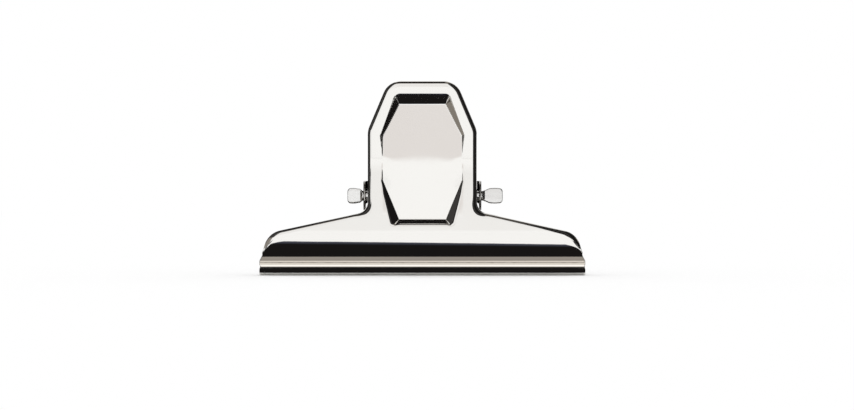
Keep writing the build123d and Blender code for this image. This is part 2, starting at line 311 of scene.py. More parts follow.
class SideView:
    """The outer face of a plate in side view, followed from above the top edge to the lip's end."""

    def __init__(self):
        above = HEIGHT + FLANGE_DEPTH
        top_slope = (TOP_DEPTH - WAIST_DEPTH) / (HEIGHT - WAIST_Z)
        top = np.array([WAIST_DEPTH + top_slope * (above - WAIST_Z), above])
        waist = np.array([WAIST_DEPTH, WAIST_Z])
        jaw = np.array([JAW_DEPTH, JAW_CORNER_Z])
        out = np.array([math.cos(LIP_CREASE_ANGLE), math.sin(LIP_CREASE_ANGLE)])
        crease = LIP_CENTRE + LIP_RADIUS * out
        self.runs = []
        self.length = 0.0
        self.place = top
        self.heading = self.heading_of(waist - top)
        down = self.heading_of(jaw - waist)
        inward = self.heading_of(crease - jaw)
        waist_reach = WAIST_RADIUS * abs(math.tan((down - self.heading) / 2))
        jaw_reach = JAW_RADIUS * abs(math.tan((inward - down) / 2))
        self.go(np.linalg.norm(waist - top) - waist_reach, 0)
        self.bend(WAIST_RADIUS, down - self.heading)
        self.go(np.linalg.norm(jaw - waist) - waist_reach - jaw_reach, 0)
        self.bend(JAW_RADIUS, inward - self.heading)
        self.into_crease()
        self.crease_length = self.length
        out = unit(self.place - LIP_CENTRE)
        rolled = math.atan2(-out[1], out[0])
        self.bend(LIP_RADIUS, -(LIP_CURL_ANGLE - rolled))
        self.runs = np.array(self.runs)
        spots = np.linspace(0, self.length, HEIGHT_TABLE_POINTS)
        heights = self.at(spots)[1]
        lowest = int(np.argmin(heights))
        self.table = (-heights[: lowest + 1], spots[: lowest + 1])

    @staticmethod
    def heading_of(way):
        return math.atan2(way[1], way[0])

    def go(self, length, curve):
        """Follow on for a length at a curvature, which is 0 on a straight run."""
        self.runs.append((self.length, *self.place, self.heading, curve))
        end = self.heading + curve * length
        if curve == 0:
            step = length * np.array([math.cos(end), math.sin(end)])
        else:
            step = np.array([math.sin(end) - math.sin(self.heading), math.cos(self.heading) - math.cos(end)])
            step = step / curve
        self.place = self.place + step
        self.heading = end
        self.length += length

    def bend(self, radius, turn):
        self.go(radius * abs(turn), math.copysign(1 / radius, turn))

    def into_crease(self):
        """The straight run to the crease, and its tight bend onto the rolled lip."""
        way = np.array([math.cos(self.heading), math.sin(self.heading)])
        out = np.array([-way[1], way[0]])
        offset = self.place + out * CREASE_RADIUS - LIP_CENTRE
        half = way @ offset
        length = -half - math.sqrt(half**2 - offset @ offset + (LIP_RADIUS + CREASE_RADIUS) ** 2)
        self.go(length, 0)
        normal = unit(self.place + out * CREASE_RADIUS - LIP_CENTRE)
        turn = self.heading_of((normal[1], -normal[0])) - self.heading
        self.bend(CREASE_RADIUS, turn % (2 * math.pi))

    def at(self, lengths):
        """Depth, height and heading at each length along the face."""
        lengths = np.asarray(lengths, float)
        index = np.searchsorted(self.runs[:, 0], lengths, side="right") - 1
        begin, depth, height, heading, curve = np.moveaxis(self.runs[np.clip(index, 0, None)], -1, 0)
        run = lengths - begin
        end = heading + curve * run
        flat = curve == 0
        bent = np.where(flat, 1, curve)
        depth = depth + np.where(flat, run * np.cos(heading), (np.sin(end) - np.sin(heading)) / bent)
        height = height + np.where(flat, run * np.sin(heading), (np.cos(heading) - np.cos(end)) / bent)
        return depth, height, end

    def length_at(self, heights):
        """Length along the face at a height, down to the bottom of the lip."""
        return np.interp(-np.asarray(heights, float), *self.table)


side = SideView()


def panel_depth(x, z):
    """Depth of the tool that sinks the panel: its flat floor, its leaning walls and its round corners."""
    spots = np.stack([np.abs(x), z], axis=-1)
    corners = np.array(PANEL_CORNERS, float)
    ways = unit(np.diff(corners, axis=0))
    outward = np.stack([-ways[:, 1], ways[:, 0]], axis=-1)
    walls = []
    for start, end, way, out, leans in zip(corners, corners[1:], ways, outward, PANEL_LEANS):
        share = (spots - start) @ way / np.linalg.norm(end - start)
        lean = leans[0] + (leans[1] - leans[0]) * smooth_step(0, PANEL_LEAN_START_SHARE, share)
        walls.append((spots - start) @ out / lean)
    rise = np.max(walls, axis=0)
    for i, wall in enumerate(walls):
        beside = ((spots - corners[i]) @ ways[i] >= 0) & ((spots - corners[i + 1]) @ ways[i] <= 0)
        rise = np.where(beside & (wall > 0), wall, rise)
    for i in range(1, len(walls)):
        arm = spots - corners[i]
        round_corner = (arm @ ways[i - 1] > 0) & (arm @ ways[i] < 0)
        turned = np.arctan2(arm @ ways[i - 1], arm @ outward[i - 1])
        share = smooth_step(0, math.acos(outward[i - 1] @ outward[i]), turned)
        before, after = PANEL_LEANS[i - 1][1], PANEL_LEANS[i][0]
        lean = before + (after - before) * share
        rise = np.where(round_corner, np.linalg.norm(arm, axis=-1) / lean, rise)
    swell = np.exp(-(((z - WAIST_Z) / PANEL_SWELL_HEIGHT) ** 2))
    swell = PANEL_SWELL * swell * smooth_step(PANEL_SWELL_X, PANEL_HALF_WIDTH, np.abs(x))
    return PANEL_FLOOR_DEPTH + soft_max(rise, swell, PANEL_FLOOR_BLEND)


def face_depth(x, lengths):
    """Depth of the front plate's outer face, with the panel sunk into it."""
    depth, height, _ = side.at(lengths)
    full = smooth_step(0, PANEL_EDGE_FULL_DEPTH, depth - PANEL_FLOOR_DEPTH)
    blend = PANEL_EDGE_BLEND * (PANEL_EDGE_LEAST_SHARE + (1 - PANEL_EDGE_LEAST_SHARE) * full)
    above_foot = smooth_step(PANEL_BOTTOM_Z - PANEL_FOOT_DROP, PANEL_BOTTOM_Z + PANEL_FOOT_RISE, height)
    blend = blend + PANEL_FOOT_BLEND * (1 - above_foot)
    return soft_min(depth, panel_depth(x, height), blend)


def rate_of_change(depth_at, place):
    """How fast a depth changes at a place."""
    return (depth_at(place + SLOPE_STEP) - depth_at(place - SLOPE_STEP)) / (2 * SLOPE_STEP)


def face_points(x, lengths):
    """Points and normals of the front plate's outer face."""
    depth = face_depth(x, lengths)
    plain_depth, height, heading = side.at(lengths)
    by_x = rate_of_change(lambda at: face_depth(at, lengths), x)
    by_length = rate_of_change(lambda at: face_depth(x, at), lengths)
    fall = np.sin(heading)
    in_panel = np.abs(depth - plain_depth) > 1e-9
    by_length = np.where(in_panel, by_length, np.cos(heading))
    normals = np.stack([by_x * fall, fall, by_length], axis=-1)
    return np.stack([x, -depth, height], axis=-1), unit(normals)


def rounded_chain(corners, radii, step):
    """Points along a chain of straight runs with rounded corners, and the direction at each."""
    corners = [np.array(c, float) for c in corners]
    points, ways = [corners[0]], [unit(corners[1] - corners[0])]

    def line_to(end):
        start = points[-1]
        count = max(1, math.ceil(np.linalg.norm(end - start) / step))
        for i in range(1, count + 1):
            points.append(start + (end - start) * i / count)
            ways.append(unit(end - start))

    for before, corner, after, radius in zip(corners, corners[1:], corners[2:], radii):
        first, second = unit(corner - before), unit(after - corner)
        turn = math.atan2(first[0] * second[1] - first[1] * second[0], first @ second)
        reach = radius * abs(math.tan(turn / 2))
        line_to(corner - first * reach)
        if radius > 0:
            side_way = np.array([-first[1], first[0]]) * math.copysign(1, turn)
            centre = points[-1] + side_way * radius
            arm = points[-1] - centre
            count = max(1, math.ceil(abs(turn) / BEND_STEP))
            for i in range(1, count + 1):
                c, s = math.cos(turn * i / count), math.sin(turn * i / count)
                points.append(centre + np.array([c * arm[0] - s * arm[1], s * arm[0] + c * arm[1]]))
                ways.append(np.array([c * first[0] - s * first[1], s * first[0] + c * first[1]]))
    line_to(corners[-1])
    return np.array(points), np.array(ways)


class Sheet:
    """An open sheet of faces with a normal at each point, which is then given its thickness."""

    def __init__(self):
        self.points = np.zeros((0, 3))
        self.normals = np.zeros((0, 3))
        self.faces = []

    def add(self, points, normals, faces):
        start = len(self.points)
        self.points = np.concatenate([self.points, points])
        self.normals = np.concatenate([self.normals, normals])
        self.faces += [[start + i for i in face] for face in faces]

    def add_grid(self, points, normals, flip=False, closed=False):
        """Add rows of points, given as an array of rows by columns."""
        rows, columns = points.shape[:2]
        faces = []
        for r in range(rows - 1):
            for c in range(columns if closed else columns - 1):
                d = (c + 1) % columns
                face = [r * columns + c, r * columns + d, (r + 1) * columns + d, (r + 1) * columns + c]
                faces.append(face[::-1] if flip else face)
        self.add(points.reshape(-1, 3), normals.reshape(-1, 3), faces)

    def mirror(self):
        """Add the left half, as the mirror image of what is there."""
        flip = np.array([-1, 1, 1])
        self.add(self.points * flip, self.normals * flip, [face[::-1] for face in self.faces])

    def weld(self):
        """Join points that lie together, and drop faces that this leaves with no area."""
        tree = KDTree(len(self.points))
        for i, point in enumerate(self.points):
            tree.insert(point, i)
        tree.balance()
        first = [min(found[1] for found in tree.find_range(point, WELD_REACH)) for point in self.points]
        kept = sorted(set(first))
        number = {old: new for new, old in enumerate(kept)}
        faces = []
        for face in self.faces:
            welded = [number[first[i]] for i in face]
            welded = [i for i, before in zip(welded, welded[-1:] + welded[:-1]) if i != before]
            if len(set(welded)) > 2:
                faces.append(welded)
        self.points, self.normals, self.faces = self.points[kept], self.normals[kept], faces

    def thicken(self, thickness):
        """Give the sheet a back and rounded cut edges. Returns how many faces aren't edges."""
        count = len(self.points)
        back = [[i + count for i in face[::-1]] for face in self.faces]
        used = dict.fromkeys((a, b) for face in self.faces for a, b in zip(face, face[1:] + face[:1]))
        rim = [(a, b) for a, b in used if (b, a) not in used]
        points, normals = self.points, self.normals
        outward = np.zeros_like(points)
        for a, b in rim:
            way = unit(points[b] - points[a])
            for i in (a, b):
                outward[i] += np.cross(way, normals[i])
        on_rim = sorted({i for edge in rim for i in edge})
        place = {i: k for k, i in enumerate(on_rim)}
        out = unit(outward[on_rim])
        rows = []
        all_points = [points, points - thickness * normals]
        all_normals = [normals, -normals]
        for share in CUT_EDGE_SHARES:
            angle = math.pi * share
            rows.append(sum(len(p) for p in all_points))
            bulge = out * EDGE_ROUND * math.sin(angle)
            all_points.append(points[on_rim] - thickness * share * normals[on_rim] + bulge)
            all_normals.append(unit(math.cos(angle) * normals[on_rim] + math.sin(angle) * out))
        edges = []
        for a, b in rim:
            left = [a, *[row + place[a] for row in rows], a + count]
            right = [b, *[row + place[b] for row in rows], b + count]
            for i in range(len(left) - 1):
                edges.append([right[i], left[i], left[i + 1], right[i + 1]])
        body = len(self.faces) + len(back)
        self.points = np.concatenate(all_points)
        self.normals = np.concatenate(all_normals)
        self.faces = self.faces + back + edges
        return body

    def turn_round(self):
        """Turn the sheet half round the upright axis."""
        flip = np.array([-1, -1, 1])
        self.points = self.points * flip
        self.normals = self.normals * flip

    def build(self, name, materials, body=None):
        """Make the Blender object. Faces from number body onwards take the second material."""
        mesh = bpy.data.meshes.new(name)
        mesh.from_pydata((self.points * MM).tolist(), [], self.faces, shade_flat=False)
        for material in materials:
            mesh.materials.append(material)
        if body is not None:
            index = np.zeros(len(mesh.polygons), np.int32)
            index[body:] = 1
            mesh.polygons.foreach_set("material_index", index)
        mesh.update()
        mesh.normals_split_custom_set_from_vertices(self.normals.tolist())
        piece = bpy.data.objects.new(name, mesh)
        bpy.context.scene.collection.objects.link(piece)
        return piece


def inside(points, polygon):
    """Which points lie inside a closed polygon."""
    result = np.zeros(len(points), bool)
    for (x0, y0), (x1, y1) in zip(polygon, np.roll(polygon, -1, axis=0)):
        crosses = (y0 > points[:, 1]) != (y1 > points[:, 1])
        if y0 != y1:
            at = x0 + (points[:, 1] - y0) / (y1 - y0) * (x1 - x0)
            result ^= crosses & (points[:, 0] < at)
    return result


def distance_to(points, polygon):
    """Distance of each point from the nearest side of a polygon."""
    nearest = np.full(len(points), np.inf)
    for start, end in zip(polygon, np.roll(polygon, -1, axis=0)):
        along = end - start
        length = max(along @ along, 1e-12)
        share = np.clip((points - start) @ along / length, 0, 1)
        gap = np.linalg.norm(points - start - share[:, None] * along, axis=1)
        nearest = np.minimum(nearest, gap)
    return nearest


def plate_outline():
    """Right half of the front view's outline, from the top centre to where the rim ends."""
    corner_x = SHOULDER_SPAN / 2
    corner_z = SHOULDER_Z - (corner_x - HANDLE_HALF) * math.tan(SHOULDER_SLOPE)
    corners = [
        (0, HEIGHT),
        (HANDLE_TOP_WIDTH / 2, HEIGHT),
        (HANDLE_HALF, HANDLE_CORNER_Z),
        (HANDLE_HALF, EAR_ROOT_HIGH_Z),
        (HANDLE_HALF, EAR_ROOT_LOW_Z),
        (HANDLE_HALF, SHOULDER_Z),
        (corner_x, corner_z),
        (RIM_END_WIDTH / 2, RIM_END_Z),
    ]
    radii = [HANDLE_TOP_RADIUS, HANDLE_CORNER_RADIUS, 0, 0, SHOULDER_FILLET, SHOULDER_CORNER_RADIUS]
    return rounded_chain(corners, radii, OUTLINE_STEP)


def rim_rows(outline, ways):
    """The turned rim as rows of points, from the face out over the bend and down the flange."""
    out = np.stack([-ways[:, 1], ways[:, 0]], axis=-1)
    at_jaw = outline[:, 0] > SHOULDER_SPAN / 2 - SHOULDER_CORNER_RADIUS
    fade = np.where(at_jaw, (outline[:, 1] - RIM_END_Z) / RIM_FADE_HEIGHT, 1)
    full_turn = math.pi / 2 * smooth_step(0, RIM_FULL_TURN_SHARE, fade)
    fillet = np.array([HANDLE_HALF, SHOULDER_Z]) + SHOULDER_FILLET * np.array(FILLET_RIM_PLACE)
    apart = np.linalg.norm(outline - fillet, axis=1)
    radius = RIM_RADIUS + FILLET_RIM_EXTRA * np.exp(-((apart / FILLET_RIM_REACH) ** 2))
    flange = (FLANGE_DEPTH - radius) * smooth_step(FLANGE_START_SHARE, 1, fade)
    heading = side.at(side.length_at(outline[:, 1] - out[:, 1] * radius))[2]
    slope = np.cos(heading) / np.sin(heading) * full_turn / (math.pi / 2)
    across, along = slope * out[:, 1], slope * ways[:, 1]
    edge = np.stack([out[:, 0], np.zeros(len(out)), out[:, 1]], axis=-1)
    face = np.stack([-along * ways[:, 0], -np.ones(len(out)), -along * ways[:, 1]], axis=-1)
    rows, normals = [], []
    for share in np.linspace(0, 1, RIM_ROWS):
        turn = full_turn * share - np.arctan(across) * (1 - share)
        inset = radius * (np.sin(full_turn) - np.sin(turn))
        spot = outline - out * inset[:, None]
        depth = side.at(side.length_at(spot[:, 1]))[0]
        depth = depth - radius * (across * np.sin(turn) + np.hypot(1, across) - np.cos(turn))
        rows.append(np.stack([spot[:, 0], -depth, spot[:, 1]], axis=-1))
        normals.append(unit(face * np.cos(turn)[:, None] + edge * np.sin(turn)[:, None]))
    bend_end = rows[-1]
    for share in FLANGE_SHARES:
        row = bend_end.copy()
        row[:, 1] += flange * share
        rows.append(row)
        normals.append(normals[-1])
    return np.array(rows), np.array(normals)


def jaw_half_width(lengths):
    """Half the jaw's width below the rim, with the lip's rounded ends."""
    start = side.length_at(RIM_END_Z)
    widening = smooth_step(start, side.crease_length, lengths)
    half = RIM_END_WIDTH / 2 + (JAW_WIDTH - RIM_END_WIDTH) / 2 * widening
    along = lengths - side.crease_length
    notch = LIP_NOTCH * np.exp(-(((along - LIP_END_RADIUS) / LIP_NOTCH_REACH) ** 2))
    rounding = np.clip(1 - (side.length - lengths) / LIP_END_RADIUS, 0, 1)
    corner = LIP_END_RADIUS * (1 - np.sqrt(np.clip(1 - rounding**2, 0, 1)))
    edge = EDGE_ROUND * smooth_step(start - JAW_EDGE_FADE, start + JAW_EDGE_FADE, lengths)
    return half - notch - corner - edge


def bend_lengths():
    """Lengths along the face at which rows of points lie, closer together where it bends."""
    rows = []
    ends = [*side.runs[1:, 0], side.length]
    for (begin, _, _, _, curve), end in zip(side.runs, ends):
        step = COARSE_STEP if curve == 0 else min(COARSE_STEP, BEND_STEP / abs(curve))
        count = max(1, math.ceil((end - begin) / step))
        rows += [begin + (end - begin) * i / count for i in range(count)]
    return np.array([*rows, side.length])


def panel_grid():
    """A close grid over the panel: its columns, its rows, its points, and which of them lie by a bend."""
    top = side.length_at(PANEL_TOP_Z + FINE_ABOVE)
    low = side.length_at(PANEL_BOTTOM_Z - FINE_BELOW)
    columns = np.arange(FINE_STEP / 2, HANDLE_HALF, FINE_STEP)
    rows = np.arange(top, low, FINE_STEP)
    spots = np.stack(np.meshgrid(columns, rows), axis=-1)
    normals = face_points(spots[..., 0], spots[..., 1])[1]
    bent = np.zeros(spots.shape[:2], bool)
    for axis in (0, 1):
        apart = np.linalg.norm(np.diff(normals, axis=axis), axis=-1) > FINE_TURN
        lead = [(0, 1) if k == axis else (0, 0) for k in (0, 1)]
        trail = [(1, 0) if k == axis else (0, 0) for k in (0, 1)]
        bent |= np.pad(apart, lead) | np.pad(apart, trail)
    by_bend = bent.copy()
    for axis in (0, 1):
        for shift in (-1, 1):
            by_bend |= np.roll(bent, shift, axis)
    return columns, rows, spots, by_bend


def face_border(rim_start, lower, jaw_rows, columns, near_panel):
    """Closed border of the right half: down the rim and the jaw's end, along the lip and up the middle."""
    border = np.stack([rim_start[:, 0], side.length_at(rim_start[:, 2])], axis=-1)
    jaw_end = np.stack([jaw_half_width(jaw_rows), jaw_rows], axis=-1)
    lip_columns = columns[columns < jaw_end[-1, 0] - LIP_CORNER_GAP][::-1]
    lip_end = np.stack([lip_columns, np.full(len(lip_columns), side.length)], axis=-1)
    apart = np.abs(lower[:, None] - near_panel).min(axis=1) > FINE_STEP
    middle = np.sort(np.concatenate([lower[apart], near_panel]))[::-1]
    middle = middle[(middle > border[0, 1] + ROW_GAP) & (middle < side.length - LIP_END_GAP)]
    return np.concatenate([border, jaw_end, lip_end, np.stack([np.zeros(len(middle)), middle], axis=-1)])


def face_sheet(sheet, rim_start):
    """The right half of the outer face inside the rim, with close points along the panel's edges."""
    rim_end = side.length_at(RIM_END_Z)
    lower = bend_lengths()
    jaw_rows = lower[lower > rim_end + ROW_GAP]
    rows = lower[lower < rim_end + ROW_GAP]
    columns = np.arange(0, JAW_WIDTH / 2, COARSE_STEP)
    grid = np.stack(np.meshgrid(columns[1:], np.concatenate([rows, jaw_rows[:-1]])), axis=-1).reshape(-1, 2)
    fine_x, fine_rows, fine, by_bend = panel_grid()
    polygon = face_border(rim_start, lower, jaw_rows, columns, fine_rows[by_bend[:, 0]])
    far_from_bend = np.ones(len(grid), bool)
    column = np.clip(((grid[:, 0] - fine_x[0]) / FINE_STEP).round().astype(int), 0, len(fine_x) - 1)
    row = ((grid[:, 1] - fine_rows[0]) / FINE_STEP).round().astype(int)
    near = (row >= 0) & (row < len(fine_rows)) & (grid[:, 0] < HANDLE_HALF)
    far_from_bend[near] = ~by_bend[row[near], column[near]]
    spots = np.concatenate([grid[far_from_bend], fine[by_bend]])
    spots = spots[inside(spots, polygon)]
    spots = spots[distance_to(spots, polygon) > BORDER_GAP]
    spots = np.concatenate([polygon, spots])
    count = len(polygon)
    loop = [(i, (i + 1) % count) for i in range(count)]
    found = delaunay_2d_cdt([tuple(p) for p in spots], loop, [], 1, 1e-6)
    flat = np.array([tuple(p) for p in found[0]])
    points, normals = face_points(flat[:, 0], flat[:, 1])
    faces = [list(face) for face in found[2]]
    first = faces[0]
    turn = np.cross(points[first[1]] - points[first[0]], points[first[2]] - points[first[0]])
    if turn @ normals[first[0]] < 0:
        faces = [face[::-1] for face in faces]
    sheet.add(points, normals, faces)


def ear_step(depth, z, stepped):
    """How far an ear stands out from the flange: the rear plate's ears step out past the front's."""
    root = np.interp(z, *root_depths)
    share = smooth_step(0, 1, (root - depth) / (root - EAR_RADIUS - EAR_STEP_CLEARANCE))
    return (EAR_GAP + SHEET) * share if stepped else np.zeros_like(depth)


def ear_sheet(sheet, flange_end, stepped):
    """The right ear, from its root on the flange to the round lobe about the pin hole."""
    centre = np.array([0.0, PIN_Z])
    root = np.stack([-flange_end[:, 1], flange_end[:, 2]], axis=-1)[::-1]
    angles = []
    for corner, way in ((root[0], -1), (root[-1], 1)):
        arm = corner - centre
        spread = math.acos(EAR_RADIUS / np.linalg.norm(arm))
        angles.append(math.atan2(arm[1], arm[0]) + way * spread)
    low, high = angles[0] + 2 * math.pi, angles[1]
    turns = np.linspace(high, low, EAR_LOBE_POINTS)
    lobe = [centre + EAR_RADIUS * np.array([math.cos(a), math.sin(a)]) for a in turns]
    steps = range(1, EAR_EDGE_POINTS)
    upper = [root[-1] + (lobe[0] - root[-1]) * i / EAR_EDGE_POINTS for i in steps]
    lower = [lobe[-1] + (root[0] - lobe[-1]) * i / EAR_EDGE_POINTS for i in steps]
    outline = np.array([*root, *upper, *lobe, *lower])
    hole = centre + PIN_HOLE_RADIUS * unit(outline - centre)
    shares = np.linspace(0, 1, EAR_RINGS)
    spots = hole[None] + (outline - hole)[None] * shares[:, None, None]
    depth, z = spots[..., 0], spots[..., 1]
    lean = rate_of_change(lambda at: ear_step(at, z, stepped), depth)
    x = HANDLE_HALF + ear_step(depth, z, stepped)
    points = np.stack([x, -depth, z], axis=-1)
    normals = unit(np.stack([np.ones_like(lean), lean, np.zeros_like(lean)], axis=-1))
    sheet.add_grid(points, normals, flip=True, closed=True)


outline, outline_ways = plate_outline()
rim, rim_normals = rim_rows(outline, outline_ways)
on_ear = np.abs(outline[:, 0] - HANDLE_HALF) < TOUCH
on_ear &= (outline[:, 1] > EAR_ROOT_LOW_Z - TOUCH) & (outline[:, 1] < EAR_ROOT_HIGH_Z + TOUCH)
flange_end = rim[-1][on_ear]
root_depths = (flange_end[::-1, 2], -flange_end[::-1, 1])


def plate(name, stepped, materials):
    """One pressed plate: face, rim and ears, mirrored to the left and given its thickness."""
    sheet = Sheet()
    face_sheet(sheet, rim[0])
    sheet.add_grid(rim, rim_normals)
    ear_sheet(sheet, flange_end, stepped)
    sheet.mirror()
    sheet.weld()
    body = sheet.thicken(SHEET)
    if stepped:
        sheet.turn_round()
    return sheet.build(name, materials, body)


def spade_rows(length, flare, twist):
    """Rings round the right half of the pin, from its middle to a flat end that widens over a flare."""
    neck_end = SPADE_X + SPADE_NECK
    blade_end = neck_end + length
    corner = blade_end - SPADE_CORNER_RADIUS
    flare_start = SPADE_X - SPADE_FLARE_LEAD
    flat_start = SPADE_X - SPADE_FLAT_LEAD
    stations = [*np.linspace(0, flare_start, SHAFT_RINGS), flat_start, SPADE_X]
    stations += [SPADE_X + SPADE_NECK * i / NECK_RINGS for i in range(1, NECK_RINGS + 1)]
    stations += [neck_end + (corner - neck_end) * i / BLADE_RINGS for i in range(1, BLADE_RINGS + 1)]
    turns = [math.pi / 2 * i / CORNER_RINGS for i in range(1, CORNER_RINGS + 1)]
    stations += [corner + SPADE_CORNER_RADIUS * math.sin(turn) for turn in turns]
    angles = np.linspace(0, 2 * math.pi, PIN_SIDES, endpoint=False)
    c, s = np.cos(angles), np.sin(angles)
    rings = []
    for x in stations:
        flat = float(smooth_step(flat_start, SPADE_X + SPADE_FLAT_SHARE * SPADE_NECK, x))
        wide = float(smooth_step(flare_start, flare_start + flare, x))
        bow = SPADE_BOW * (2 * min(max(x - neck_end, 0) / length, 1) - 1) ** 2 * wide
        high = PIN_RADIUS + (SPADE_HEIGHT / 2 - PIN_RADIUS) * wide - bow
        thick = PIN_RADIUS + (SPADE_THICKNESS / 2 - PIN_RADIUS) * flat
        past = max(0.0, x - corner) / SPADE_CORNER_RADIUS
        high -= SPADE_CORNER_RADIUS * (1 - math.sqrt(max(0.0, 1 - past**2)))
        close = max(0.0, x - (blade_end - SPADE_EDGE)) / SPADE_EDGE
        thick *= SPADE_EDGE_LEAST_SHARE + (1 - SPADE_EDGE_LEAST_SHARE) * math.sqrt(max(0.0, 1 - close**2))
        power = 2 + SPADE_SQUARENESS * flat
        y = thick * np.sign(c) * np.abs(c) ** (2 / power)
        z = high * np.sign(s) * np.abs(s) ** (2 / power)
        turn = twist * flat
        turned = [y * math.cos(turn) - z * math.sin(turn), y * math.sin(turn) + z * math.cos(turn)]
        rings.append(np.stack([np.full_like(y, x), turned[0], PIN_Z + turned[1]], axis=-1))
    return rings


def plain_piece(name, points, faces, material):
    """A linked Blender object of one material, from points in metres."""
    mesh = bpy.data.meshes.new(name)
    mesh.from_pydata(points.tolist(), [], faces, shade_flat=False)
    mesh.materials.append(material)
    piece = bpy.data.objects.new(name, mesh)
    bpy.context.scene.collection.objects.link(piece)
    return piece


def solid_of_rings(name, rings, material):
    """A closed solid through rings of points, with flat ends."""
    rings = np.array(rings)
    sheet = Sheet()
    sheet.add_grid(rings, np.zeros_like(rings), closed=True)
    columns = rings.shape[1]
    total = len(sheet.points)
    sheet.faces.append(list(range(columns))[::-1])
    sheet.faces.append(list(range(total - columns, total)))
    return plain_piece(name, sheet.points * MM, sheet.faces, material)


def hinge_pin(material):
    """A round pin whose ends are beaten flat into spades."""
    right = spade_rows(RIGHT_SPADE_LENGTH, RIGHT_SPADE_FLARE, RIGHT_SPADE_TWIST)
    left = spade_rows(LEFT_SPADE_LENGTH, LEFT_SPADE_FLARE, LEFT_SPADE_TWIST)
    left = [ring * (-1, 1, 1) for ring in left]
    return solid_of_rings("hinge_pin_visual", right[:0:-1] + left, material)


def spring_path():
    """Centre line of the spring, from the front leg's tip through the coil to the rear leg's tip."""
    leg_depth = PANEL_FLOOR_DEPTH - SHEET - LEG_CLEARANCE - WIRE_RADIUS
    leg_rise = LEG_TOP_Z - PIN_Z
    tip_angle = math.atan2(leg_rise, -leg_depth)
    first = tip_angle + math.acos(COIL_MEAN_RADIUS / math.hypot(leg_depth, leg_rise))
    last = math.pi - first + 2 * math.pi * (COIL_TURNS + 1)
    climb = COIL_PITCH / (2 * math.pi)
    turns = np.linspace(first, last, math.ceil((last - first) / COIL_STEP))
    coil = np.stack(
        [
            climb * (turns - (first + last) / 2),
            COIL_MEAN_RADIUS * np.cos(turns),
            PIN_Z + COIL_MEAN_RADIUS * np.sin(turns),
        ],
        axis=-1,
    )
    ways = np.stack(
        [np.full_like(turns, climb), -COIL_MEAN_RADIUS * np.sin(turns), COIL_MEAN_RADIUS * np.cos(turns)],
        axis=-1,
    )
    ways = unit(ways)
    length = (LEG_TOP_Z - coil[0, 2]) / abs(ways[0, 2])
    front = [coil[0] - ways[0] * length * share for share in LEG_SHARES]
    rear = [coil[-1] + ways[-1] * length * share for share in LEG_SHARES[::-1]]
    return np.array([*front, *coil, *rear]), abs(coil[0, 0])


def wire(name, path, material):
    """The spring's round wire along a path, with its ends' edges taken off."""
    ways = unit(np.gradient(path, axis=0))
    across = unit(np.cross(ways[0], [1.0, 0.0, 0.0]))
    angles = np.linspace(0, 2 * math.pi, WIRE_SIDES, endpoint=False)
    rings = []
    for i, (spot, way) in enumerate(zip(path, ways)):
        across = unit(across - way * (across @ way))
        ring = np.cos(angles)[:, None] * across - np.sin(angles)[:, None] * np.cross(way, across)
        share = WIRE_END_SHARE if i in (0, len(path) - 1) else 1.0
        rings.append(spot + ring * WIRE_RADIUS * share)
    return solid_of_rings(name, rings, material)


def new_material(name):
    """A material with a plain shader, its node tree and that shader."""
    material = bpy.data.materials.new(name)
    material.use_nodes = True
    tree = material.node_tree
    return material, tree, tree.nodes["Principled BSDF"]


def groove_painted_shade(tree, place, wander):
    """Painted shade in the groove over the lip, by height, with an edge that wanders along the jaw."""
    nodes, links = tree.nodes, tree.links
    split = nodes.new("ShaderNodeSeparateXYZ")
    links.new(place, split.inputs["Vector"])
    uneven = nodes.new("ShaderNodeMath")
    uneven.operation = "MULTIPLY_ADD"
    uneven.inputs[1].default_value = GROOVE_SHADE_WANDER
    links.new(wander, uneven.inputs[0])
    links.new(split.outputs["Z"], uneven.inputs[2])
    height = nodes.new("ShaderNodeMapRange")
    height.inputs["From Min"].default_value = GROOVE_LOW
    height.inputs["From Max"].default_value = GROOVE_HIGH
    links.new(uneven.outputs["Value"], height.inputs["Value"])
    shade_ramp = nodes.new("ShaderNodeValToRGB")
    for end, position in zip(shade_ramp.color_ramp.elements, GROOVE_SHADE_ENDS):
        end.color = (1, 1, 1, 1)
        end.position = position
    for position, colour in GROOVE_PAINTED_SHADES:
        shade_ramp.color_ramp.elements.new(position).color = (*colour, 1)
    links.new(height.outputs["Result"], shade_ramp.inputs["Fac"])
    return shade_ramp.outputs["Color"]


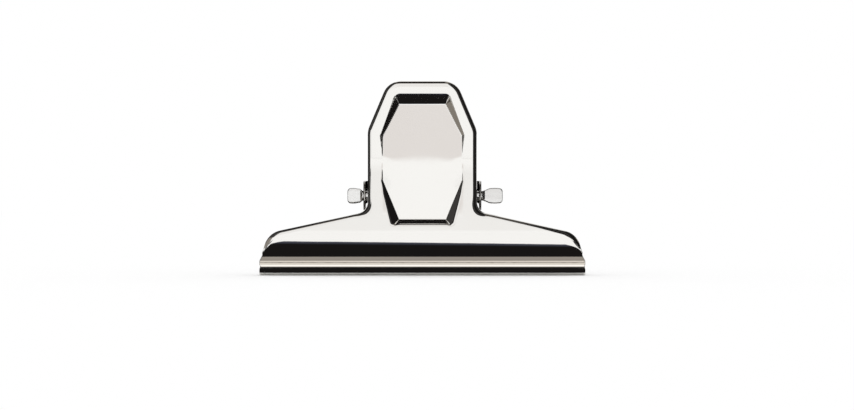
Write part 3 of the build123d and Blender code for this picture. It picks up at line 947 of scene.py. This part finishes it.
def metal(name, colour, tint, rough, scratch, grain, wave, groove_shaded=False):
    """Plated metal: slow colour change, fine rubbing marks, a bump of grain and long waves, and, if the flag
    is set, painted shade in the groove over the lip."""
    material, tree, shader = new_material(name)
    nodes, links = tree.nodes, tree.links
    shader.inputs["Metallic"].default_value = 1.0
    place = nodes.new("ShaderNodeTexCoord").outputs["Object"]

    def noise(scale, detail, stretch=(1, 1, 1)):
        mapping = nodes.new("ShaderNodeMapping")
        mapping.inputs["Scale"].default_value = stretch
        links.new(place, mapping.inputs["Vector"])
        node = nodes.new("ShaderNodeTexNoise")
        node.inputs["Scale"].default_value = scale
        node.inputs["Detail"].default_value = detail
        links.new(mapping.outputs["Vector"], node.inputs["Vector"])
        return node.outputs["Fac"]

    def bump(height, strength, distance):
        node = nodes.new("ShaderNodeBump")
        node.inputs["Strength"].default_value = strength
        node.inputs["Distance"].default_value = distance
        links.new(height, node.inputs["Height"])
        return node

    shade = nodes.new("ShaderNodeMix")
    shade.data_type = "RGBA"
    shade.inputs["A"].default_value = (*colour, 1)
    shade.inputs["B"].default_value = (*tint, 1)
    links.new(noise(*TINT_NOISE), shade.inputs["Factor"])
    finish = shade.outputs["Result"]
    # Painted shade: the groove over the lip is darkened where the crease shades it
    if groove_shaded:
        shade_multiply = nodes.new("ShaderNodeMix")
        shade_multiply.data_type = "RGBA"
        shade_multiply.blend_type = "MULTIPLY"
        shade_multiply.inputs["Factor"].default_value = 1.0
        links.new(finish, shade_multiply.inputs["A"])
        links.new(groove_painted_shade(tree, place, noise(*GROOVE_SHADE_NOISE, GROOVE_SHADE_STRETCH)), shade_multiply.inputs["B"])
        finish = shade_multiply.outputs["Result"]
    links.new(finish, shader.inputs["Base Color"])
    marks = nodes.new("ShaderNodeMapRange")
    marks.inputs["From Min"].default_value = RUB_LOW
    marks.inputs["From Max"].default_value = RUB_HIGH
    marks.inputs["To Min"].default_value = rough
    marks.inputs["To Max"].default_value = rough + scratch
    links.new(noise(*RUB_NOISE, RUB_STRETCH), marks.inputs["Value"])
    links.new(marks.outputs["Result"], shader.inputs["Roughness"])
    fine = bump(noise(*GRAIN_NOISE), grain, GRAIN_DEPTH)
    long = bump(noise(*WAVE_NOISE), wave, WAVE_DEPTH)
    links.new(long.outputs["Normal"], fine.inputs["Normal"])
    links.new(fine.outputs["Normal"], shader.inputs["Normal"])
    return material


# The plate's nickel carries the painted shade in the groove over the lip
nickel = metal(
    "nickel_plate",
    colour=(0.87, 0.86, 0.835),
    tint=(0.85, 0.835, 0.805),
    rough=0.035,
    scratch=0.03,
    grain=0.03,
    wave=0.12,
    groove_shaded=True,
)
cut_edge = metal(
    "plated_cut_edge",
    colour=(0.74, 0.72, 0.69),
    tint=(0.62, 0.60, 0.57),
    rough=0.22,
    scratch=0.2,
    grain=0.5,
    wave=0.05,
)
pin_metal = metal(
    "nickel_pin",
    colour=(0.84, 0.835, 0.825),
    tint=(0.74, 0.735, 0.72),
    rough=0.14,
    scratch=0.16,
    grain=0.35,
    wave=0.2,
)
spring_metal = metal(
    "spring_steel",
    colour=(0.60, 0.59, 0.57),
    tint=(0.50, 0.49, 0.475),
    rough=0.2,
    scratch=0.18,
    grain=0.3,
    wave=0.05,
)

front = plate("front_plate_visual", False, [nickel, cut_edge])
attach(front, "front")
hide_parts("front_plate")

rear = plate("rear_plate_visual", True, [nickel, cut_edge])
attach(rear, "rear")
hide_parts("rear_plate")

pin = hinge_pin(pin_metal)
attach(pin, "pin")
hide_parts("hinge_pin")

path, coil_end = spring_path()
spring = wire("spring_visual", path, spring_metal)
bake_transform(spring)
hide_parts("spring")


def glow(name, low, high=None, low_z=0.0, high_z=1.0):
    """A plain light of one colour, or one that changes from a low to a high place."""
    material = bpy.data.materials.new(name)
    material.use_nodes = True
    nodes, links = material.node_tree.nodes, material.node_tree.links
    nodes.clear()
    shader = nodes.new("ShaderNodeEmission")
    output = nodes.new("ShaderNodeOutputMaterial")
    links.new(shader.outputs["Emission"], output.inputs["Surface"])
    shader.inputs["Color"].default_value = (*low, 1)
    if high is not None:
        place = nodes.new("ShaderNodeTexCoord")
        split = nodes.new("ShaderNodeSeparateXYZ")
        share = nodes.new("ShaderNodeMapRange")
        share.inputs["From Min"].default_value = low_z
        share.inputs["From Max"].default_value = high_z
        mix = nodes.new("ShaderNodeMix")
        mix.data_type = "RGBA"
        mix.inputs["A"].default_value = (*low, 1)
        mix.inputs["B"].default_value = (*high, 1)
        links.new(place.outputs["Object"], split.inputs["Vector"])
        links.new(split.outputs["Z"], share.inputs["Value"])
        links.new(share.outputs["Result"], mix.inputs["Factor"])
        links.new(mix.outputs["Result"], shader.inputs["Color"])
    return material


def card(name, rows, material):
    """A studio card that only shows in polished metal, given as rows of points in metres."""
    rows = np.asarray(rows, float)
    height, width = rows.shape[:2]
    faces = []
    for r in range(height - 1):
        for c in range(width - 1):
            faces.append([r * width + c, r * width + c + 1, (r + 1) * width + c + 1, (r + 1) * width + c])
    piece = plain_piece(name, rows.reshape(-1, 3), faces, material)
    piece.visible_camera = False
    piece.visible_diffuse = False
    piece.visible_shadow = False
    piece.visible_transmission = False


def sky_card(name, azimuths, heights, reach, material):
    """A card on a sphere round the clip. Azimuth 0 is in front, and grows to the right."""
    rows = []
    for height in np.radians(np.linspace(*heights, SKY_ROWS)):
        flat, z = reach * math.cos(height), SKY_CENTRE_Z + reach * math.sin(height)
        turns = np.radians(np.linspace(*azimuths, SKY_COLUMNS))
        rows.append([(flat * math.sin(turn), -flat * math.cos(turn), z) for turn in turns])
    card(name, rows, material)


# Lights of the cards, where 1 is white
black = glow("black_flag", (0.010, 0.009, 0.009))
dim = glow("dim_flag", (0.05, 0.048, 0.046))
shade = glow("shade_card", (0.27, 0.245, 0.22))
foot_grey = glow("grey_foot", (0.34, 0.31, 0.28))
tan = glow("tan_foot", (0.72, 0.68, 0.64))
cream = glow("cream_foot", (1.12, 1.09, 1.05))
apron = glow("apron", (1.06, 1.06, 1.06))
softbox = glow("softbox", (1.07, 1.07, 1.07), (0.96, 0.955, 0.95), *SOFTBOX_FADE)
grey = glow("grey_card", (1.07, 1.07, 1.07), (0.865, 0.832, 0.82), *GREY_CARD_FADE)
glimmers = []
for i in range(1, GLIMMERS + 1):
    glimmers.append(glow(f"foot_glimmer_{i}", [part * i for part in GLIMMER_COLOUR]))

# Far edges of the dark band's strip and of each glimmer beyond it, at the left end and at the right end
band_edges = []
for i in range(GLIMMERS + 1):
    band_edges.append([far + i * width for far, width in zip(BAND_FAR_Y, GLIMMER_WIDTHS)])

# Cards on the floor along the jaw: name, near and far edge at the left end and at the right end, and light
strips = [
    ("foot_strip", [BAND_NEAR_Y] * 2, band_edges[0], black),
    *[(f"foot_glimmer_{i}", band_edges[i], band_edges[i + 1], light) for i, light in enumerate(glimmers)],
    ("foot_grey", [LIP_FACE_Y] * 2, [BAND_NEAR_Y] * 2, foot_grey),
    ("foot_shade", [SHADE_NEAR_Y] * 2, [LIP_FACE_Y] * 2, black),
    ("apron", band_edges[-1], [APRON_FAR_Y] * 2, apron),
]

# Cards that stand upright: name, places as seen from above, low and high edge, and light
lip_line = [(-LIP_CARD_X, LIP_CARD_Y), (LIP_CARD_X, LIP_CARD_Y)]
lip_face = [(-LIP_CARD_X, LIP_FACE_Y), (LIP_CARD_X, LIP_FACE_Y)]
left_line = [(-LEFT_CARD_X, y) for y in (FLAG_Y, LEFT_SHADE_Y, 0.0)]
left_corner, right_corner, back_corner = (-FLAG_X, FLAG_Y), (FLAG_X, FLAG_Y), (FLAG_X, -FLAG_Y)
stands = [
    ("foot_lip", lip_line, STRIP_Z, LIP_TAN_Z, black),
    ("foot_lip_middle", lip_line, LIP_TAN_Z, LIP_CREAM_Z, tan),
    ("foot_lip_top", lip_line, LIP_CREAM_Z, LIP_CARD_TOP, cream),
    ("foot_lip_face", lip_face, STRIP_Z, LIP_CARD_TOP, foot_grey),
    ("right_flag", [RIGHT_FLAG_END, RIGHT_FLAG_CORNER], FLAG_FOOT, FLAG_TOP, black),
    ("right_dim_flag", [RIGHT_FLAG_CORNER, SIDE_FLAG_CORNER], FLAG_FOOT, FLAG_TOP, dim),
    ("side_flag", [SIDE_FLAG_CORNER, right_corner, back_corner], FLAG_FOOT, FLAG_TOP, black),
    ("left_white", left_line[:2], FLAG_FOOT, LEFT_CARD_TOP, apron),
    ("left_shade", left_line[1:], FLAG_FOOT, LEFT_CARD_TOP, shade),
    ("left_dim", left_line[::2], LEFT_CARD_TOP, FLAG_TOP, dim),
    ("left_flag", [left_corner, LEFT_FLAG_END], LEFT_CARD_TOP, FLAG_TOP, black),
    ("upper_left_flag", [left_corner, UPPER_FLAG_END], UPPER_FLAG_FOOT, FLAG_TOP, black),
    ("grey_card", [(-GREY_CARD_X, GREY_CARD_Y), (GREY_CARD_X, GREY_CARD_Y)], *GREY_CARD_LEVELS, grey),
]

# Cards on a sphere: name, span of azimuths and of heights in degrees, distance and light
sky_cards = [
    ("softbox", (-57, 12), (-3, 56), 0.60, softbox),
    ("top_shade", (-57, 123), (56, 66), 0.55, shade),
    ("top_flag", (-57, 123), (66, 90), 0.55, black),
]

# White patches on the floor that round off the dark band's ends: name, outer end and inner edge
carves = [("left_carve", -STRIP_X, LEFT_CARVE), ("right_carve", END_STRIP_X, RIGHT_CARVE)]


def light_half(way, place):
    """Set the cards before the clip's front, for way 1, or turned half round before its back, for way -1."""
    for name, near, far, light in strips:
        rows = []
        for left_y, right_y in (near, far):
            rows.append([(-way * STRIP_X, -way * left_y, STRIP_Z), (way * STRIP_X, -way * right_y, STRIP_Z)])
        card(f"{name}_{place}", rows, light)
    for name, places, low, high, light in stands:
        card(f"{name}_{place}", [[(way * x, -way * y, z) for x, y in places] for z in (low, high)], light)
    for name, end, carve in carves:
        rows = [[(way * x, -way * y, CARVE_Z), (way * end, -way * y, CARVE_Z)] for x, y in carve]
        card(f"{name}_{place}", rows, apron)
    end_strip = [[(way * x, y, END_STRIP_Z) for x in (END_STRIP_X, STRIP_X)] for y in (-FLAG_Y, FLAG_Y)]
    card(f"end_strip_{place}", end_strip, black)
    turn = 0 if way > 0 else 180
    for name, azimuths, heights, distance, light in sky_cards:
        sky_card(f"{name}_{place}", [turn + azimuth for azimuth in azimuths], heights, distance, light)


# The clip's front and back are lit alike, but for one more shade above the right end
light_half(1, "front")
light_half(-1, "back")
sky_card("top_right_shade", (40, 140), (60, 86), 0.50, shade)

# Pale floor that keeps the clip's shadow
floor_material, _, floor_shader = new_material("pale_floor")
floor_shader.inputs["Base Color"].default_value = (1, 1, 1, 1)
floor_shader.inputs["Roughness"].default_value = 0.9
floor_shader.inputs["Specular IOR Level"].default_value = 0.0
floor_corners = np.array([(-1, -1, 0), (1, -1, 0), (1, 1, 0), (-1, 1, 0)]) * FLOOR_HALF
floor = plain_piece("floor", floor_corners, [[0, 1, 2, 3]], floor_material)

world = bpy.data.worlds.new("white_studio")
bpy.context.scene.world = world
world.use_nodes = True
background = world.node_tree.nodes["Background"]
background.inputs["Color"].default_value = (1, 1, 1, 1)
background.inputs["Strength"].default_value = 1.0

# Camera at the photograph's viewpoint: level, straight on, through a long lens
camera_data = bpy.data.cameras.new("camera")
camera_data.sensor_width = SENSOR_WIDTH
camera_data.lens = camera_data.sensor_width * VIEW_DISTANCE / (PIXEL * IMAGE_WIDTH)
camera = bpy.data.objects.new("camera", camera_data)
camera.location = (VIEW_CENTRE[0], -VIEW_DISTANCE, VIEW_CENTRE[1])
camera.rotation_euler = (math.pi / 2, 0, 0)
bpy.context.scene.collection.objects.link(camera)
bpy.context.scene.camera = camera
bpy.context.scene.view_settings.view_transform = "Standard"
